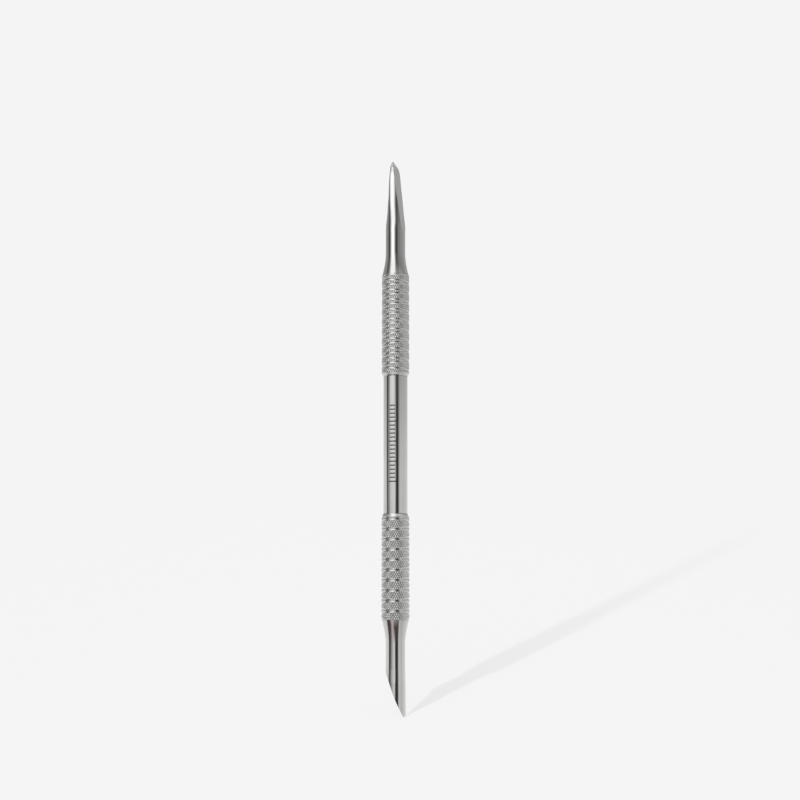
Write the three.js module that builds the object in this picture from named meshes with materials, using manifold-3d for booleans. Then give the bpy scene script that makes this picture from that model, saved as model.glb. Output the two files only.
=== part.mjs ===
// Cuticle pusher, double ended, stainless steel. Millimetres, +Z up along the tool, lower tip at z = 0.
// A turned centre barrel carries a knurled grip on a spigot at each end. Each grip holds the tang of a
// working end: a slim flat-faced pusher at the top, a hollow-ground scraping edge at the bottom.
import * as THREE from "three";
import { mergeVertices } from "three/addons/utils/BufferGeometryUtils.js";
import Module from "manifold-3d";

const wasm = await Module();
wasm.setup();

// Lengths along the tool
const LENGTH = 140; // tip to tip
const GRIP_LENGTH = 26.05; // knurled part and its chamfer
const LOWER_GRIP_START = 23.2; // bottom end of the lower grip
const UPPER_GRIP_START = 83.75; // bottom end of the upper grip
const BARREL_START = LOWER_GRIP_START + GRIP_LENGTH;
const UPPER_GRIP_END = UPPER_GRIP_START + GRIP_LENGTH;
const SPIGOT_LENGTH = 10; // how far barrel and tangs reach into a grip

// Radii
const GRIP_RADIUS = 3.475; // knurl crest
const BARREL_RADIUS = 3.02;
const SPIGOT_RADIUS = 2.5;
const FIT_CLEARANCE = 0.02; // radial, between a spigot and its bore
const SHOULDER_RADIUS = 3.36; // large end of each concave cone
const UPPER_NECK_RADIUS = 2.47;
const LOWER_NECK_RADIUS = 2.41;
const LOWER_FLARE = [[2.55, 0.15], [2.53, 4], [2.51, 8]]; // (radius, z), wider towards the edge
const CONE_LENGTH = 5.6;

// Upper pusher: the plane of its flat face, from just outside the neck up to where it curls over
const FACE_FOOT = { x: 2.4926, z: 120.2 };
const FACE_HEAD = { x: 0.209, z: 137.5 };

const FACE_ABOVE_TIP = 0.05; // how far the cuts for the working faces pass the ends of the tool
const FACE_BELOW_TIP = 0.1;
const CUTTER_REACH = 5; // from the tool's axis, well outside every neck
const CUTTER_HALF_WIDTH = 4;

// Grip grooves: one right-hand and one left-hand helix that cross twice a turn
const GROOVE_PITCH = 2.5;
const GROOVE_WIDTH = 0.6;
const GROOVE_DEPTH = 0.1;
const CHAMFER = 0.85; // length of the chamfer beside the barrel
const CHAMFER_DROP = 0.4; // and how far it goes down
const END_BREAK = 0.11; // small bevel at the end that meets a cone
const UPPER_CROSSING = { angle: 7, z: 107.6 }; // where the two helices of each grip cross
const LOWER_CROSSING = { angle: -66, z: 45.42 };
const UPPER_PLAIN_LENGTH = 1.2; // from the barrel, without grooves

const SMOOTH_SEGMENTS = 48;
const GRIP_SEGMENTS = 36;

// Solid of revolution about Z from a closed (radius, z) profile that goes up on its outside.
function turned(profile, segments = SMOOTH_SEGMENTS) {
  const points = profile.map(([r, z]) => new THREE.Vector2(r, z));
  return new THREE.LatheGeometry(points, segments).rotateX(Math.PI / 2);
}

// Moves each vertex of a geometry by a function of its position.
function reshape(geometry, move) {
  const position = geometry.getAttribute("position");
  const v = new THREE.Vector3();
  for (let i = 0; i < position.count; i++) {
    move(v.fromBufferAttribute(position, i), i);
    position.setXYZ(i, v.x, v.y, v.z);
  }
  return geometry;
}

// Concave cone from the shoulder to a neck, as points at a distance t from the grip.
function coneProfile(neckRadius) {
  return [0, 0.4, 0.8, 1.3, 1.9, 2.5, 3.2, 4, 4.8, CONE_LENGTH].map((t) => [
    neckRadius + (SHOULDER_RADIUS - neckRadius) * (1 - t / CONE_LENGTH) ** 1.6,
    t,
  ]);
}

function toSolid(geometry) {
  const bare = geometry.clone();
  bare.deleteAttribute("normal");
  bare.deleteAttribute("uv");
  const welded = mergeVertices(bare, 1e-4);
  return new wasm.Manifold(
    new wasm.Mesh({
      numProp: 3,
      vertProperties: welded.getAttribute("position").array,
      triVerts: new Uint32Array(welded.index.array),
    }),
  );
}

function toGeometry(solid) {
  const mesh = solid.getMesh();
  const geometry = new THREE.BufferGeometry();
  geometry.setAttribute("position", new THREE.BufferAttribute(mesh.vertProperties, 3));
  geometry.setIndex(new THREE.BufferAttribute(mesh.triVerts, 1));
  geometry.computeVertexNormals();
  return geometry;
}

// Prism that runs across the tool along Y, from an (x, z) outline.
function crossCutter(outline) {
  const shape = new THREE.Shape(outline.map(([x, z]) => new THREE.Vector2(x, z)));
  return new THREE.ExtrudeGeometry(shape, { depth: 2 * CUTTER_HALF_WIDTH, bevelEnabled: false })
    .translate(0, 0, -CUTTER_HALF_WIDTH)
    .rotateX(Math.PI / 2);
}

// Smooth row of (x, z) points through the given ones.
function smooth(points, divisions) {
  const curve = new THREE.SplineCurve(points.map(([x, z]) => new THREE.Vector2(x, z)));
  return curve.getPoints(divisions).map((p) => [p.x, p.y]);
}

// Centre barrel: plain polished cylinder with a spigot at each end.
function centreBarrel() {
  const low = BARREL_START - SPIGOT_LENGTH;
  const high = UPPER_GRIP_START + SPIGOT_LENGTH;
  return turned([
    [0, low],
    [SPIGOT_RADIUS - 0.3, low],
    [SPIGOT_RADIUS, low + 0.3],
    [SPIGOT_RADIUS, BARREL_START],
    [BARREL_RADIUS, BARREL_START],
    [BARREL_RADIUS, UPPER_GRIP_START],
    [SPIGOT_RADIUS, UPPER_GRIP_START],
    [SPIGOT_RADIUS, high - 0.3],
    [SPIGOT_RADIUS - 0.3, high],
    [0, high],
  ]);
}

// Grip: a sleeve whose outside is cut by the two crossing helical grooves. At each angle the mesh has a
// row on both edges and on the bottom of each groove, so the grooves stay crisp with few triangles.
function grip(start, crossing, chamferAtTop, plainLength) {
  const end = start + GRIP_LENGTH;
  const half = GROOVE_WIDTH / 2;
  const gap = 0.025; // least distance between two rows
  const turns = Math.ceil(GRIP_LENGTH / GROOVE_PITCH) + 1;
  const firstTurn = Math.floor((start - crossing.z) / GROOVE_PITCH);
  const rowCount = turns * 6;

  // 0 where the grooves cross, 1 half a turn away, where they cross again
  const spread = (angle) => {
    const turn = (angle - THREE.MathUtils.degToRad(crossing.angle)) / (2 * Math.PI);
    return 2 * Math.abs(turn - Math.round(turn));
  };

  const rowHeights = (angle) => {
    const offset = (spread(angle) * GROOVE_PITCH) / 2;
    const inner = Math.max(Math.min(half, offset - gap), gap);
    const outer = Math.max(Math.min(half, GROOVE_PITCH / 2 - offset - gap), gap);
    const rows = [];
    for (let k = firstTurn; k < firstTurn + turns; k++) {
      const z = crossing.z + k * GROOVE_PITCH;
      const low = z - Math.max(offset, 2 * gap);
      const high = z + Math.max(offset, 2 * gap);
      rows.push(low - outer, low, low + inner, high - inner, high, high + outer);
    }
    return rows.map((z, i) => {
      const floor = start + gap * i;
      const ceiling = end - gap * (rowCount - 1 - i);
      return Math.min(Math.max(z, floor), ceiling);
    });
  };

  const fromBarrel = (z) => (chamferAtTop ? end - z : z - start);

  const grooveDepth = (angle, z) => {
    if (fromBarrel(z) < plainLength) return 0;
    const offset = (spread(angle) * GROOVE_PITCH) / 2;
    const nearest = (at) => {
      const turn = (z - at) / GROOVE_PITCH;
      return Math.abs(turn - Math.round(turn)) * GROOVE_PITCH;
    };
    const distance = Math.min(nearest(crossing.z + offset), nearest(crossing.z - offset));
    return GROOVE_DEPTH * Math.max(0, 1 - distance / half);
  };

  const envelope = (z) => {
    const fromCone = GRIP_LENGTH - fromBarrel(z);
    const atBarrel = CHAMFER_DROP * Math.max(0, 1 - fromBarrel(z) / CHAMFER);
    return GRIP_RADIUS - atBarrel - Math.max(0, END_BREAK - fromCone);
  };

  const bore = SPIGOT_RADIUS + FIT_CLEARANCE;
  const rows = rowHeights(0).map((z) => [GRIP_RADIUS, z]);
  const profile = [[bore, start], ...rows, [bore, end], [bore, start]];
  return reshape(turned(profile, GRIP_SEGMENTS), (v, i) => {
    const row = (i % profile.length) - 1;
    if (row < 0 || row >= rowCount) return;
    const angle = Math.atan2(v.y, v.x);
    v.z = rowHeights(angle)[row];
    const radius = envelope(v.z) - grooveDepth(angle, v.z);
    v.x = radius * Math.cos(angle);
    v.y = radius * Math.sin(angle);
  });
}

// Upper working end: tang, concave cone, neck and a tapered pusher with one long flat face on +X.
// Each section of the pusher is two half ellipses that share their width, a flat one at the back.
function upperWorkingEnd() {
  const base = UPPER_GRIP_END;
  // Height, half width, depth behind and in front of the widest place, and that place's x
  const pusher = [
    [122.2, UPPER_NECK_RADIUS, UPPER_NECK_RADIUS, UPPER_NECK_RADIUS, 0],
    [123.65, 2.36, 2.27, 2.47, -0.08],
    [124.9, 2.25, 1.98, 2.47, -0.2],
    [126.5, 2.14, 1.67, 2.48, -0.33],
    [128.4, 2.09, 1.38, 2.55, -0.47],
    [130.2, 2.05, 1.03, 2.6, -0.56],
    [132.3, 1.97, 0.87, 2.55, -0.62],
    [133.9, 1.92, 0.757, 2.5, -0.64],
    [136.2, 1.92, 0.64, 2.5, -0.54],
    [137, 1.84, 0.57, 2.5, -0.5],
    [137.55, 1.7, 0.63, 2.5, -0.47],
    [138.1, 1.63, 0.67, 2.5, -0.45],
    [138.6, 1.32, 0.71, 2.5, -0.45],
    [138.9, 1.145, 0.72, 2.5, -0.45],
    [139.15, 0.91, 0.57, 2.5, -0.5],
    [139.42, 0.75, 0.38, 2.5, -0.58],
    [139.68, 0.4, 0.25, 2.5, -0.7],
    [LENGTH, 0.12, 0.1, 2.5, -0.75],
  ];
  const body = reshape(
    turned([
      [0, base - SPIGOT_LENGTH],
      [SPIGOT_RADIUS - 0.3, base - SPIGOT_LENGTH],
      [SPIGOT_RADIUS, base - SPIGOT_LENGTH + 0.3],
      [SPIGOT_RADIUS, base],
      ...coneProfile(UPPER_NECK_RADIUS).map(([r, t]) => [r, base + t]),
      ...pusher.map(([z, halfWidth]) => [halfWidth, z]),
      [0, LENGTH],
    ]),
    (v) => {
      const station = pusher.find(([z]) => Math.abs(z - v.z) < 1e-3);
      if (!station) return;
      const [, halfWidth, behind, front, middle] = station;
      const across = v.x / halfWidth;
      v.x = middle + across * (across > 0 ? front : behind);
    },
  );
  // A flat that runs out of the neck up to its head, then a curl over to the thin rounded tip
  const faceEnd = LENGTH + FACE_ABOVE_TIP;
  const face = [
    [FACE_FOOT.x, FACE_FOOT.z],
    ...smooth(
      [
        [FACE_HEAD.x, FACE_HEAD.z],
        [0.05, 138.1],
        [-0.137, 138.62],
        [-0.268, 138.88],
        [-0.435, 139.15],
        [-0.53, 139.42],
        [-0.66, 139.7],
        [-0.74, faceEnd],
      ],
      14,
    ),
  ];
  const cutter = crossCutter([...face, [CUTTER_REACH, faceEnd], [CUTTER_REACH, FACE_FOOT.z]]);
  return toGeometry(toSolid(body).subtract(toSolid(cutter)));
}

// Lower working end: tang, concave cone and a slightly flared neck ground hollow on -X to a curved edge.
function lowerWorkingEnd() {
  const base = LOWER_GRIP_START;
  const faceTop = 11.35; // where the hollow cut leaves the neck
  const body = turned([
    [0, 0],
    [LOWER_FLARE[0][0] - 0.03, 0],
    ...LOWER_FLARE,
    [LOWER_NECK_RADIUS, faceTop],
    ...coneProfile(LOWER_NECK_RADIUS)
      .map(([r, t]) => [r, base - t])
      .reverse(),
    [SPIGOT_RADIUS, base],
    [SPIGOT_RADIUS, base + SPIGOT_LENGTH - 0.3],
    [SPIGOT_RADIUS - 0.3, base + SPIGOT_LENGTH],
    [0, base + SPIGOT_LENGTH],
  ]);
  // A hollow run-out at the top, a nearly straight slope, and a last steep stretch at the edge
  const face = smooth(
    [
      [-2.53, faceTop],
      [-2.143, 10.84],
      [-1.394, 9.88],
      [-0.768, 8.8],
      [-0.133, 7.38],
      [0.715, 5.05],
      [1.54, 2.92],
      [1.993, 1.73],
      [2.28, 0.8],
      [2.389, 0.35],
      [2.459, -FACE_BELOW_TIP],
    ],
    40,
  );
  const cutter = crossCutter([[-CUTTER_REACH, faceTop], ...face, [-CUTTER_REACH, -FACE_BELOW_TIP]]);
  return toGeometry(toSolid(body).subtract(toSolid(cutter)));
}

const polished = new THREE.MeshStandardMaterial({ color: 0xc9c9c7, metalness: 1, roughness: 0.2 });
const knurled = new THREE.MeshStandardMaterial({ color: 0xb4b3b0, metalness: 1, roughness: 0.45 });

const group = new THREE.Group();
group.name = "cuticle_pusher";

function place(name, geometry, material) {
  const mesh = new THREE.Mesh(geometry, material);
  mesh.name = name;
  group.add(mesh);
}

place("centre_barrel", centreBarrel(), polished);
place("upper_grip", grip(UPPER_GRIP_START, UPPER_CROSSING, false, UPPER_PLAIN_LENGTH), knurled);
place("lower_grip", grip(LOWER_GRIP_START, LOWER_CROSSING, true, 0), knurled);
place("upper_working_end", upperWorkingEnd(), polished);
place("lower_working_end", lowerWorkingEnd(), polished);

export default group;
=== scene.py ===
"""Looks for the double-ended steel cuticle pusher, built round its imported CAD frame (Blender 4.5)."""

import math

import bpy
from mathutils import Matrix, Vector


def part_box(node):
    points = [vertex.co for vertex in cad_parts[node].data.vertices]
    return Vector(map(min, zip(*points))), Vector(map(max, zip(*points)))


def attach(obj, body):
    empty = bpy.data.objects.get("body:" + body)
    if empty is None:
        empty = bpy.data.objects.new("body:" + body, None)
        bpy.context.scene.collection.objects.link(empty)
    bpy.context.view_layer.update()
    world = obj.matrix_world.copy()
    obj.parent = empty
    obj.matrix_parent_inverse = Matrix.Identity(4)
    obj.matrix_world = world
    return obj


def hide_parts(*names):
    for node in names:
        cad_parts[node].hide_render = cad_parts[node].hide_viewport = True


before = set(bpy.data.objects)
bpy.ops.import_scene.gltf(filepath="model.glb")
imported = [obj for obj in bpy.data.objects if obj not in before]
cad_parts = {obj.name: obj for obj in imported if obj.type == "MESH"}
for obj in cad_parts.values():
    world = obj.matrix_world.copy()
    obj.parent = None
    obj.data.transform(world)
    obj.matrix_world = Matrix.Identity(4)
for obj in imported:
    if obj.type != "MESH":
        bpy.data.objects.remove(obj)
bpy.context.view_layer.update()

MM = 0.001

# Stations along the tool in millimetres, from the CAD boxes
LOWER_GRIP = [v.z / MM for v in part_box("lower_grip")]
UPPER_GRIP = [v.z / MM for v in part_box("upper_grip")]
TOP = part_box("upper_working_end")[1].z / MM
SPIGOT = UPPER_GRIP[1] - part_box("upper_working_end")[0].z / MM
GRIP_RADIUS = (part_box("upper_grip")[1].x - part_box("upper_grip")[0].x) / MM / 2
BARREL_RADIUS = (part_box("centre_barrel")[1].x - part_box("centre_barrel")[0].x) / MM / 2

# Radii and lengths that the frame gives no box for
SPIGOT_RADIUS = 2.5
BORE_RADIUS = 2.52
SHOULDER_RADIUS = 3.36
SPIGOT_BEVEL = 0.3
BARREL_EDGE = 0.07  # bevel where the barrel meets a grip
LOWER_EDGE_BEVEL = 0.02
UPPER_NECK_RADIUS = 2.47
LOWER_NECK_RADIUS = 2.41
CONE_LENGTH = 5.6
CONE_HOLLOW = 1.6  # above 1 the cone is concave

# Grip surface
GROOVE_PITCH = 2.5
GROOVE_WIDTH = 0.6
GROOVE_DEPTH = 0.1
KNURL_FROM, KNURL_FULL = 0.85, 1.3  # where the knurl starts and is full, in half groove widths
CHAMFER = 0.85
CHAMFER_DROP = 0.4
END_BREAK = 0.11
KNURL_TEETH = 42
KNURL_ANGLE = math.radians(28)  # of both sets of cuts, from the tool's axis
KNURL_DEPTH = 0.1
UPPER_CROSSING = (math.radians(7), 107.6)  # angle and height of one groove crossing
LOWER_CROSSING = (math.radians(-66), 45.42)
UPPER_PLAIN_LENGTH = 1.2  # from the barrel, without grooves
GRIP_COLUMNS, GRIP_ROW = 420, 0.065  # points round a grip, and height of a row of faces

# Camera, which stands low and looks up
VIEW_AZIMUTH = math.radians(28)
VIEW_ELEVATION = math.radians(-8)
VIEW_DISTANCE = 352.2
VIEW_HEIGHT = 77.87
VIEW_ASIDE = 1.13  # the tool stands this far left of the picture's middle
FOCAL_LENGTH = 63
SENSOR_WIDTH = 36

TOWARDS_CAMERA = (math.sin(VIEW_AZIMUTH), -math.cos(VIEW_AZIMUTH), 0)
TO_THE_RIGHT = (math.cos(VIEW_AZIMUTH), math.sin(VIEW_AZIMUTH), 0)


def smoothstep(low, high, x):
    t = min(max((x - low) / (high - low), 0), 1)
    return t * t * (3 - 2 * t)


def spline(points, steps):
    """Catmull-Rom row through the points, with that many steps between each two."""
    ends = [points[0], *points, points[-1]]
    row = []
    for a, b, c, d in zip(ends, ends[1:], ends[2:], ends[3:]):
        for k in range(steps):
            t = k / steps
            row.append(
                tuple(
                    0.5 * (2 * q + (r - p) * t + (2 * p - 5 * q + 4 * r - s) * t * t
                           + (3 * q - p - 3 * r + s) * t**3)
                    for p, q, r, s in zip(a, b, c, d)
                )
            )
    return [*row, points[-1]]


def height_on(points, z):
    """First coordinate of a row of (x, z) points at height z."""
    for (x0, z0), (x1, z1) in zip(points, points[1:]):
        if z0 <= z <= z1:
            return x0 + (x1 - x0) * (z - z0) / (z1 - z0)
    return None


# Meshes


def skin(rings, closed_ends):
    """Vertices in metres and faces of a tube through rings of equal length, with fans over closed ends."""
    count = len(rings[0])
    vertices = [(x * MM, y * MM, z * MM) for ring in rings for x, y, z in ring]
    faces = []
    for i in range(len(rings) - 1):
        for j in range(count):
            k = (j + 1) % count
            faces.append((i * count + j, i * count + k, (i + 1) * count + k, (i + 1) * count + j))
    if closed_ends:
        for ring, first, flip in ((rings[0], 0, True), (rings[-1], (len(rings) - 1) * count, False)):
            vertices.append(tuple(sum(v[axis] for v in ring) / count * MM for axis in range(3)))
            middle = len(vertices) - 1
            for j in range(count):
                a, b = first + j, first + (j + 1) % count
                faces.append((middle, b, a) if flip else (middle, a, b))
    else:
        for j in range(count):
            k = (j + 1) % count
            last = (len(rings) - 1) * count
            faces.append((last + j, last + k, k, j))
    return vertices, faces


def add_piece(name, vertices, faces, materials, node, slot, sharp_angle, on_face=None):
    """One visible piece. The faces numbered in on_face take the second material."""
    mesh = bpy.data.meshes.new(name)
    mesh.from_pydata(vertices, [], faces)
    for material in materials:
        mesh.materials.append(material)
    for index, polygon in enumerate(mesh.polygons):
        polygon.use_smooth = True
        polygon.material_index = 1 if on_face and on_face(index) else 0
    mesh.set_sharp_from_angle(angle=math.radians(sharp_angle))
    piece = bpy.data.objects.new(name, mesh)
    bpy.context.scene.collection.objects.link(piece)
    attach(piece, "root")
    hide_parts(node)
    return piece


def circle(radius, z, count):
    turn = 2 * math.pi / count
    return [(radius * math.cos(j * turn), radius * math.sin(j * turn), z) for j in range(count)]


ARC_STEPS, CHORD_STEPS = 120, 28
RING_LENGTH = ARC_STEPS + CHORD_STEPS
LOWER_FACE_STEPS = 90
ROUND_RINGS = 28  # of the upper end, below its flat face


def cut_section(section, cut, z, mirrored):
    """Ring at height z: two half ellipses of one width, flat where they pass x = cut."""
    half_width, behind, front, middle = section
    corner = math.radians(3)
    if cut is not None:
        reach = front if cut > middle else behind
        corner = max(corner, math.acos(min(max((cut - middle) / reach, -0.999), 1)))
    ring = []
    for j in range(ARC_STEPS + 1):
        angle = corner + (2 * math.pi - 2 * corner) * j / ARC_STEPS
        across = math.cos(angle)
        ring.append((middle + across * (front if across > 0 else behind), half_width * math.sin(angle)))
    for j in range(1, CHORD_STEPS):
        y = half_width * math.sin(corner) * (2 * j / CHORD_STEPS - 1)
        x = middle + front * math.sqrt(max(1 - (y / half_width) ** 2, 0))
        ring.append((x if cut is None else min(x, cut), y))
    if mirrored:
        ring = [(-x, y) for x, y in reversed(ring)]
    return [(x, y, z) for x, y in ring]


def round_section(radius):
    return radius, radius, radius, 0


def cone_profile(neck_radius):
    steps = 24
    row = []
    for i in range(steps + 1):
        t = i / steps
        row.append((neck_radius + (SHOULDER_RADIUS - neck_radius) * (1 - t) ** CONE_HOLLOW, t * CONE_LENGTH))
    return row


def barrel_mesh():
    low, high = LOWER_GRIP[1], UPPER_GRIP[0]
    profile = [
        (SPIGOT_RADIUS - SPIGOT_BEVEL, low - SPIGOT),
        (SPIGOT_RADIUS, low - SPIGOT + SPIGOT_BEVEL),
        (SPIGOT_RADIUS, low),
        (BARREL_RADIUS - BARREL_EDGE, low),
        (BARREL_RADIUS, low + BARREL_EDGE),
        (BARREL_RADIUS, (low + high) / 2),
        (BARREL_RADIUS, high - BARREL_EDGE),
        (BARREL_RADIUS - BARREL_EDGE, high),
        (SPIGOT_RADIUS, high),
        (SPIGOT_RADIUS, high + SPIGOT - SPIGOT_BEVEL),
        (SPIGOT_RADIUS - SPIGOT_BEVEL, high + SPIGOT),
    ]
    sides = 192
    return skin([circle(r, z, sides) for r, z in profile], True)


def chamfer_drop(from_barrel):
    """How far the chamfer is below the knurl crest: steep, then shallower beside the barrel."""
    foot_length, foot_drop = 0.22, 0.335
    if from_barrel < foot_length:
        return CHAMFER_DROP - (CHAMFER_DROP - foot_drop) * from_barrel / foot_length
    return foot_drop * max(0, 1 - (from_barrel - foot_length) / (CHAMFER - foot_length))


def grip_mesh(start, end, crossing, barrel_above, plain_length):
    """Knurled sleeve with two crossing helical grooves, one of each hand, which stop short of the barrel."""
    cross_angle, cross_z = crossing
    slant = math.tan(KNURL_ANGLE) / GRIP_RADIUS
    outer = []
    rows = round((end - start) / GRIP_ROW)
    for i in range(rows + 1):
        z = start + (end - start) * i / rows
        from_barrel = end - z if barrel_above else z - start
        from_cone = (end - start) - from_barrel
        envelope = GRIP_RADIUS - chamfer_drop(from_barrel) - max(0, END_BREAK - from_cone)
        clear_of_chamfer = smoothstep(CHAMFER * 0.8, CHAMFER * 1.2, from_barrel)
        grooved = 1 if from_barrel >= plain_length else 0
        ring = []
        for j in range(GRIP_COLUMNS):
            angle = 2 * math.pi * j / GRIP_COLUMNS
            turn = (angle - cross_angle) / (2 * math.pi)
            distance = min(
                abs(pitch - round(pitch)) * GROOVE_PITCH
                for pitch in ((z - cross_z) / GROOVE_PITCH + hand * turn for hand in (1, -1))
            )
            d = distance / (GROOVE_WIDTH / 2)
            groove = GROOVE_DEPTH * max(0, 1 - d**4) * grooved
            phases = (KNURL_TEETH * (angle + hand * slant * z) / (2 * math.pi) for hand in (1, -1))
            tooth = min(2 * abs(phase - round(phase)) for phase in phases)
            clear_of_groove = smoothstep(KNURL_FROM, KNURL_FULL, d) if grooved else 1
            cut = KNURL_DEPTH * (1 - tooth) * clear_of_groove * clear_of_chamfer
            radius = envelope - groove - cut
            ring.append((radius * math.cos(angle), radius * math.sin(angle), z))
        outer.append(ring)
    inner = [circle(BORE_RADIUS, z, GRIP_COLUMNS) for z in (end, start)]
    return skin([*outer, *inner], False)


# Upper pusher from the neck up: half width, depth behind and in front of the widest place, its x, and height.
# Worked out to follow the outline.
UPPER_PUSHER = spline(
    [
        (*round_section(UPPER_NECK_RADIUS), 120.2),
        (*round_section(UPPER_NECK_RADIUS), 122.2),
        (2.36, 2.27, 2.47, -0.08, 123.65),
        (2.25, 1.98, 2.47, -0.2, 124.9),
        (2.14, 1.67, 2.48, -0.33, 126.5),
        (2.09, 1.38, 2.55, -0.47, 128.4),
        (2.05, 1.03, 2.6, -0.56, 130.2),
        (1.97, 0.87, 2.55, -0.62, 132.3),
        (1.92, 0.757, 2.5, -0.64, 133.9),
        (1.92, 0.64, 2.5, -0.54, 136.2),
        (1.84, 0.57, 2.5, -0.5, 137),
        (1.7, 0.63, 2.5, -0.47, 137.55),
        (1.63, 0.67, 2.5, -0.45, 138.1),
        (1.32, 0.71, 2.5, -0.45, 138.6),
        (1.145, 0.72, 2.5, -0.45, 138.9),
        (0.91, 0.57, 2.5, -0.5, 139.15),
        (0.75, 0.38, 2.5, -0.58, 139.42),
        (0.4, 0.25, 2.5, -0.7, 139.68),
        (0.12, 0.1, 2.5, -0.75, TOP),
    ],
    6,
)
# Across the upper flat face, as (x, z): from just outside the neck up the flat, then the curl over the tip
UPPER_FACE = [
    (2.4926, 120.2),
    *spline(
        [
            (0.209, 137.5),
            (0.05, 138.1),
            (-0.137, 138.62),
            (-0.268, 138.88),
            (-0.435, 139.15),
            (-0.53, 139.42),
            (-0.66, 139.7),
            (-0.74, 140.05),
        ],
        6,
    ),
]
# Radius of the lower end, as (radius, z), which widens a little towards the edge
LOWER_FLARE = [(2.55, 0.08), (2.53, 4), (2.51, 8), (LOWER_NECK_RADIUS, 11.35)]
# Across the lower hollow-ground face, as (x, z) from the edge up
LOWER_FACE = spline(
    [
        (2.459, -0.1),
        (2.389, 0.35),
        (2.28, 0.8),
        (1.993, 1.73),
        (1.54, 2.92),
        (0.715, 5.05),
        (-0.133, 7.38),
        (-0.768, 8.8),
        (-1.394, 9.88),
        (-2.143, 10.84),
        (-2.53, 11.35),
    ],
    8,
)


def upper_end_mesh():
    base = UPPER_GRIP[1]
    profile = [
        (*round_section(SPIGOT_RADIUS - SPIGOT_BEVEL), base - SPIGOT),
        (*round_section(SPIGOT_RADIUS), base - SPIGOT + SPIGOT_BEVEL),
        (*round_section(SPIGOT_RADIUS), base),
        *[(*round_section(r), base + t) for r, t in cone_profile(UPPER_NECK_RADIUS)],
        *UPPER_PUSHER,
    ]
    return skin([cut_section(section, height_on(UPPER_FACE, z), z, False) for *section, z in profile], True)


def lower_end_mesh():
    base = LOWER_GRIP[0]
    edge_radius, edge_top = LOWER_FLARE[0]
    face_top = LOWER_FLARE[-1][1]
    heights = [edge_top + (face_top - edge_top) * i / LOWER_FACE_STEPS for i in range(LOWER_FACE_STEPS + 1)]
    profile = [
        (edge_radius - LOWER_EDGE_BEVEL, 0),
        *[(height_on(LOWER_FLARE, z), z) for z in heights],
        *[(r, base - t) for r, t in reversed(cone_profile(LOWER_NECK_RADIUS))],
        (SPIGOT_RADIUS, base),
        (SPIGOT_RADIUS, base + SPIGOT - SPIGOT_BEVEL),
        (SPIGOT_RADIUS - SPIGOT_BEVEL, base + SPIGOT),
    ]
    rings = []
    for radius, z in profile:
        face = height_on(LOWER_FACE, z)
        rings.append(cut_section(round_section(radius), None if face is None else -face, z, True))
    return skin(rings, True)


# Materials


class Nodes:
    """Short calls for building a node tree."""

    def __init__(self, tree):
        self.tree = tree

    def add(self, kind, **settings):
        node = self.tree.nodes.new(kind)
        for key, value in settings.items():
            setattr(node, key, value)
        return node

    def join(self, source, target):
        self.tree.links.new(source, target)

    def math(self, operation, *values):
        node = self.add("ShaderNodeMath", operation=operation)
        for socket, value in zip(node.inputs, values):
            if isinstance(value, (int, float)):
                socket.default_value = value
            else:
                self.join(value, socket)
        return node.outputs[0]

    def ramp(self, factor, stops, interpolation="LINEAR"):
        node = self.add("ShaderNodeValToRGB")
        node.color_ramp.interpolation = interpolation
        elements = node.color_ramp.elements
        while len(elements) > 1:
            elements.remove(elements[-1])
        for i, (position, value) in enumerate(stops):
            element = elements[0] if i == 0 else elements.new(position)
            element.position = position
            shade = value if isinstance(value, tuple) else (value, value, value)
            element.color = (*shade, 1)
        self.join(factor, node.inputs[0])
        return node.outputs[0]

    def noise(self, vector, scale, detail=2):
        node = self.add("ShaderNodeTexNoise")
        node.inputs["Scale"].default_value = scale
        node.inputs["Detail"].default_value = detail
        self.join(vector, node.inputs["Vector"])
        return node.outputs["Fac"]

    def scaled(self, vector, factors):
        node = self.add("ShaderNodeMapping")
        node.inputs["Scale"].default_value = factors
        self.join(vector, node.inputs["Vector"])
        return node.outputs["Vector"]


CLOUDS_PER_METRE = 260
CLOUD_SHADE = 0.93
LINE_DEPTH = 0.00002  # metres
ETCHED_COLOUR = (0.09, 0.09, 0.09, 1)
ETCHED_ROUGHNESS = 0.35  # added to the steel's own
ETCHED_ASIDE = math.radians(15)  # the scale is this far left of the middle of the view


def steel(name, colour, roughness, bump_strength, line_scale, scale_marks=False):
    """Stainless steel with fine machining lines and slight clouding in the polish."""
    material = bpy.data.materials.new(name)
    material.use_nodes = True
    n = Nodes(material.node_tree)
    shader = material.node_tree.nodes["Principled BSDF"]
    shader.inputs["Metallic"].default_value = 1
    place = n.add("ShaderNodeTexCoord").outputs["Object"]
    lines = n.noise(n.scaled(place, line_scale), 1, 3)
    clouds = n.noise(place, CLOUDS_PER_METRE, 4)
    dark = tuple(c * CLOUD_SHADE for c in colour)
    tint = n.ramp(clouds, [(0.3, dark), (0.7, colour)])
    half = roughness * 0.5
    rough = n.math("ADD", n.math("MULTIPLY", lines, half), n.math("MULTIPLY", clouds, half))
    rough = n.math("ADD", rough, half)
    if scale_marks:
        mark = etched_scale(n, place)
        mix = n.add("ShaderNodeMix", data_type="RGBA")
        n.join(mark, mix.inputs["Factor"])
        n.join(tint, mix.inputs["A"])
        mix.inputs["B"].default_value = ETCHED_COLOUR
        tint = mix.outputs["Result"]
        rough = n.math("ADD", rough, n.math("MULTIPLY", mark, ETCHED_ROUGHNESS))
    n.join(tint, shader.inputs["Base Color"])
    n.join(rough, shader.inputs["Roughness"])
    bump = n.add("ShaderNodeBump")
    bump.inputs["Strength"].default_value = bump_strength
    bump.inputs["Distance"].default_value = LINE_DEPTH
    n.join(lines, bump.inputs["Height"])
    n.join(bump.outputs["Normal"], shader.inputs["Normal"])
    return material


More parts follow.
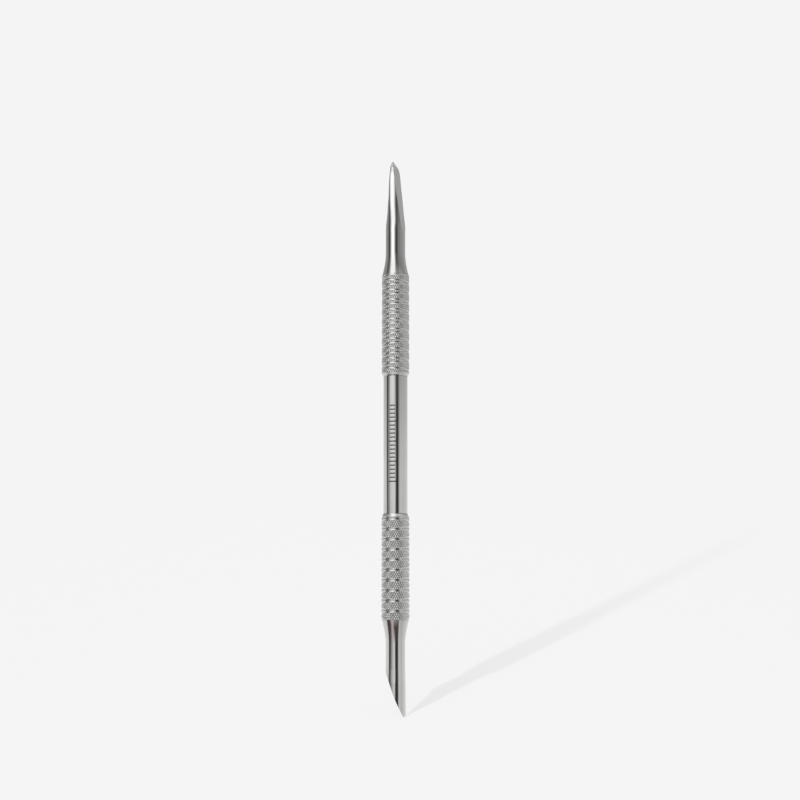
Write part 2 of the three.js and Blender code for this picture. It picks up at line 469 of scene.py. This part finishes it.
def etched_scale(n, place):
    """Mask of a plain etched scale on the barrel: a short line every millimetre and a long one every fifth."""
    low, high, pitch, thickness = 0.0570, 0.0765, 0.001, 0.0003
    short, long = 0.0014, 0.0019
    angle = VIEW_AZIMUTH - math.pi / 2 - ETCHED_ASIDE
    split = n.add("ShaderNodeSeparateXYZ")
    n.join(place, split.inputs[0])
    x, y, z = split.outputs
    across = n.math("ADD", n.math("MULTIPLY", x, -math.sin(angle)), n.math("MULTIPLY", y, math.cos(angle)))
    outward = n.math("ADD", n.math("MULTIPLY", x, math.cos(angle)), n.math("MULTIPLY", y, math.sin(angle)))
    along_scale = n.math("SUBTRACT", z, low)

    def lines_every(spacing, width):
        place_in_step = n.math("FRACT", n.math("DIVIDE", along_scale, spacing))
        on_line = n.math("LESS_THAN", place_in_step, thickness / spacing)
        return n.math("MULTIPLY", on_line, n.math("LESS_THAN", n.math("ABSOLUTE", across), width / 2))

    marks = n.math("MAXIMUM", lines_every(pitch, short), lines_every(5 * pitch, long))
    within = n.math("MULTIPLY", n.math("GREATER_THAN", z, low), n.math("LESS_THAN", z, high))
    return n.math("MULTIPLY", n.math("MULTIPLY", marks, within), n.math("GREATER_THAN", outward, 0))


STEEL = (0.62, 0.62, 0.61)
TURNED = (60, 60, 9000)  # lines that run round the tool
GROUND = (200, 14000, 120)  # lines that run along a ground face
polished_barrel = steel("polished_barrel_steel", STEEL, 0.08, 0.07, TURNED, scale_marks=True)
knurled = steel("knurled_steel", STEEL, 0.22, 0.15, (60, 60, 14000))
polished_end = steel("polished_end_steel", STEEL, 0.08, 0.06, TURNED)
ground_face = steel("ground_face_steel", (0.63, 0.63, 0.62), 0.2, 0.3, GROUND)


def on_upper_face(index):
    """Faces between the two corners of the cut, above the round neck."""
    ring, place = divmod(index, RING_LENGTH)
    return place >= ARC_STEPS and ring > ROUND_RINGS


def on_lower_face(index):
    ring, place = divmod(index, RING_LENGTH)
    return ring <= LOWER_FACE_STEPS and (place < CHORD_STEPS - 1 or place == RING_LENGTH - 1)


add_piece("barrel_steel", *barrel_mesh(), [polished_barrel], "centre_barrel", "polished_barrel", 30)
upper_grip = grip_mesh(*UPPER_GRIP, UPPER_CROSSING, False, UPPER_PLAIN_LENGTH)
add_piece("upper_knurled_grip", *upper_grip, [knurled], "upper_grip", "knurled_grip", 50)
lower_grip = grip_mesh(*LOWER_GRIP, LOWER_CROSSING, True, 0)
add_piece("lower_knurled_grip", *lower_grip, [knurled], "lower_grip", "knurled_grip", 50)
ends = [polished_end, ground_face]
add_piece("upper_pusher", *upper_end_mesh(), ends, "upper_working_end", "polished_end", 24, on_upper_face)
add_piece("lower_scraper", *lower_end_mesh(), ends, "lower_working_end", "polished_end", 24, on_lower_face)


# Camera, floor and light


def along(towards, right, up):
    """Point in metres from distances in millimetres towards the camera, to its right and up."""
    return tuple(
        (towards * TOWARDS_CAMERA[i] + right * TO_THE_RIGHT[i] + (up if i == 2 else 0)) * MM for i in range(3)
    )


def add_camera():
    camera = bpy.data.objects.new("camera", bpy.data.cameras.new("camera"))
    bpy.context.scene.collection.objects.link(camera)
    camera.data.lens = FOCAL_LENGTH
    camera.data.sensor_width = SENSOR_WIDTH
    camera.data.clip_start = 0.01
    camera.location = along(
        VIEW_DISTANCE * math.cos(VIEW_ELEVATION),
        VIEW_ASIDE,
        VIEW_HEIGHT + VIEW_DISTANCE * math.sin(VIEW_ELEVATION),
    )
    camera.rotation_euler = (math.pi / 2 - VIEW_ELEVATION, 0, VIEW_AZIMUTH)
    bpy.context.scene.camera = camera


BACKDROP = 0.905
SWEEP_SLOPE = math.tan(math.radians(20))  # the pale floor rises this much behind the tool
TIP_FORWARD = 1.1  # the lower edge is this far in front of the tool's axis
SHADOW_FLOOR = 0.12  # share of light that the floor takes from the lamps near the tool
FLOOR_LIGHT = 0.175  # what that share adds, taken off the floor's own glow
SHADOW_REACH = 0.22  # metres from the foot
SUN_SIZE = math.radians(2.2)
SUN_ENERGY = 4.3
SUN_TILT = math.radians(71.2)  # from straight down
SUN_ASIDE = math.radians(41.8)  # its shadow runs this far to the right of straight away from the camera


def add_floor():
    """Pale sweep through the tool's foot. It glows evenly, and near the tool a share of it takes the shadow."""
    reach = 2000
    places = ((reach, -reach), (reach, reach), (-reach, reach), (-reach, -reach))
    corners = [along(t, r, (TIP_FORWARD - t) * SWEEP_SLOPE) for t, r in places]
    mesh = bpy.data.meshes.new("floor")
    mesh.from_pydata(corners, [], [(0, 1, 2, 3)])
    material = bpy.data.materials.new("pale_floor")
    material.use_nodes = True
    n = Nodes(material.node_tree)
    shader = material.node_tree.nodes["Principled BSDF"]
    shader.inputs["Roughness"].default_value = 1
    shader.inputs["Specular IOR Level"].default_value = 0
    distance = n.add("ShaderNodeVectorMath", operation="LENGTH")
    n.join(n.add("ShaderNodeTexCoord").outputs["Object"], distance.inputs[0])
    near = n.add("ShaderNodeMapRange")
    n.join(distance.outputs["Value"], near.inputs["Value"])
    for socket, value in (("From Min", 0), ("From Max", SHADOW_REACH), ("To Min", 1), ("To Max", 0)):
        near.inputs[socket].default_value = value
    share = near.outputs["Result"]
    n.join(n.math("MULTIPLY", share, SHADOW_FLOOR), shader.inputs["Base Color"])
    glow = n.math("SUBTRACT", BACKDROP, n.math("MULTIPLY", share, FLOOR_LIGHT))
    n.join(glow, shader.inputs["Emission Color"])
    shader.inputs["Emission Strength"].default_value = 1
    mesh.materials.append(material)
    floor = bpy.data.objects.new("floor", mesh)
    bpy.context.scene.collection.objects.link(floor)
    floor.visible_glossy = False


def add_sun():
    """Small low light from the front left, which casts the faint shadow."""
    light = bpy.data.lights.new("shadow_light", "SUN")
    light.angle = SUN_SIZE
    light.energy = SUN_ENERGY
    lamp = bpy.data.objects.new("shadow_light", light)
    bpy.context.scene.collection.objects.link(lamp)
    lamp.visible_glossy = False
    lamp.rotation_euler = (SUN_TILT, 0, VIEW_AZIMUTH - SUN_ASIDE)


# Reflection of a warm dark room in the downward faces, and of a paler strip in it
WARM_DARK = (0.095, 0.076, 0.073)
WARM_STRIP = (0.67, 0.56, 0.56)

# Soft boxes and dark flags round the tool: for each height in degrees, brightness by compass angle from the
# camera
STUDIO = [
    (-42, [(-180, 0.85), (-70, 0.7), (-50, 0.95), (0, 0.95), (20, 0.6), (180, 0.85)]),
    (-26, [
        (-180, 0.9), (-100, 0.9), (-86, 0.72), (-76, WARM_DARK), (-48, WARM_DARK), (-34, WARM_STRIP),
        (-24, WARM_STRIP), (-12, WARM_DARK), (28, WARM_DARK), (38, 0.72), (60, 0.6), (100, 0.82), (180, 0.95),
    ]),
    (-2, [
        (-180, 1), (-95, 0.96), (-86, 0.85), (-79, 0.08), (-60, 0.1), (-48, 0.36), (-34, 0.64), (-22, 0.9),
        (-6, 0.9), (0, 0.05), (27, 0.05), (34, 0.55), (40, 0.84), (60, 0.78), (72, 0.7), (84, 0.76),
        (108, 0.92), (180, 1),
    ]),
    (5, [
        (-180, 1), (-98, 0.88), (-91, 0.6), (-87, 0), (-81, 0), (-76, 0.32), (-60, 0.46), (-50, 0.9),
        (-10, 1.02), (-1, 0.75), (7, 0.12), (12, 0.04), (24, 0.04), (33, 0.45), (42, 0.79), (90, 0.79),
        (120, 0.86), (180, 0.95),
    ]),
    (10.5, [
        (-180, 0.7), (-112, 0.6), (-93, 0.4), (-87, 0.05), (-80, 0.04), (-74, 0.15), (-62, 0.4), (-50, 0.95),
        (-42, 1.1), (-22, 1.15), (-12, 0.85), (-2, 0.4), (7, 0.1), (14, 0.05), (25, 0.15), (34, 0.35),
        (62, 0.46), (112, 0.52), (180, 0.66),
    ]),
    (14, [
        (-180, 0.5), (-112, 0.42), (-93, 0.26), (-82, 0.06), (-74, 0.06), (-64, 0.3), (-50, 1.2), (-42, 1.8),
        (-22, 1.8), (-12, 0.8), (-2, 0.18), (8, 0.06), (16, 0.06), (26, 0.25), (62, 0.39), (112, 0.49),
        (180, 0.62),
    ]),
    (33, [
        (-180, 0.3), (-110, 0.4), (-92, 0.16), (-78, 0.14), (-62, 0.35), (-48, 1.4), (-12, 1.5), (-1, 0.45),
        (8, 0.15), (25, 0.16), (40, 0.28), (100, 0.38), (115, 0.5), (150, 0.55), (180, 0.6),
    ]),
    (54, [
        (-180, 0.9), (-105, 0.95), (-92, 0.85), (-82, 0.6), (-68, 0.75), (-56, 1), (-46, 1.6), (-4, 1.5),
        (10, 0.95), (20, 0.7), (32, 0.75), (46, 0.92), (120, 0.95), (180, 0.9),
    ]),
]


def add_studio():
    """The studio that the steel reflects. The camera itself sees only the plain backdrop."""
    world = bpy.data.worlds.new("studio")
    bpy.context.scene.world = world
    world.use_nodes = True
    world.node_tree.nodes.clear()
    n = Nodes(world.node_tree)
    direction = n.add("ShaderNodeTexCoord").outputs["Generated"]

    def dot(axis):
        node = n.add("ShaderNodeVectorMath", operation="DOT_PRODUCT")
        n.join(direction, node.inputs[0])
        node.inputs[1].default_value = axis
        return node.outputs["Value"]

    compass = n.math("ARCTAN2", dot(TO_THE_RIGHT), dot(TOWARDS_CAMERA))
    around = n.math("ADD", n.math("DIVIDE", compass, 2 * math.pi), 0.5)
    height = n.math("DEGREES", n.math("ARCSINE", dot((0, 0, 1))))

    def band(stops):
        return n.ramp(around, [((degrees + 180) / 360, value) for degrees, value in stops])

    light = band(STUDIO[0][1])
    for (lower, _), (upper, stops) in zip(STUDIO, STUDIO[1:]):
        step = n.add("ShaderNodeMapRange")
        n.join(height, step.inputs["Value"])
        step.inputs["From Min"].default_value = lower
        step.inputs["From Max"].default_value = upper
        mix = n.add("ShaderNodeMix", data_type="RGBA")
        n.join(step.outputs["Result"], mix.inputs["Factor"])
        n.join(light, mix.inputs["A"])
        n.join(band(stops), mix.inputs["B"])
        light = mix.outputs["Result"]

    studio = n.add("ShaderNodeBackground")
    n.join(light, studio.inputs["Color"])
    backdrop = n.add("ShaderNodeBackground")
    backdrop.inputs["Color"].default_value = (BACKDROP, BACKDROP, BACKDROP, 1)
    switch = n.add("ShaderNodeMixShader")
    n.join(n.add("ShaderNodeLightPath").outputs["Is Camera Ray"], switch.inputs[0])
    n.join(studio.outputs[0], switch.inputs[1])
    n.join(backdrop.outputs[0], switch.inputs[2])
    n.join(switch.outputs[0], n.add("ShaderNodeOutputWorld").inputs["Surface"])


add_camera()
add_floor()
add_sun()
add_studio()
bpy.context.scene.view_settings.view_transform = "Standard"
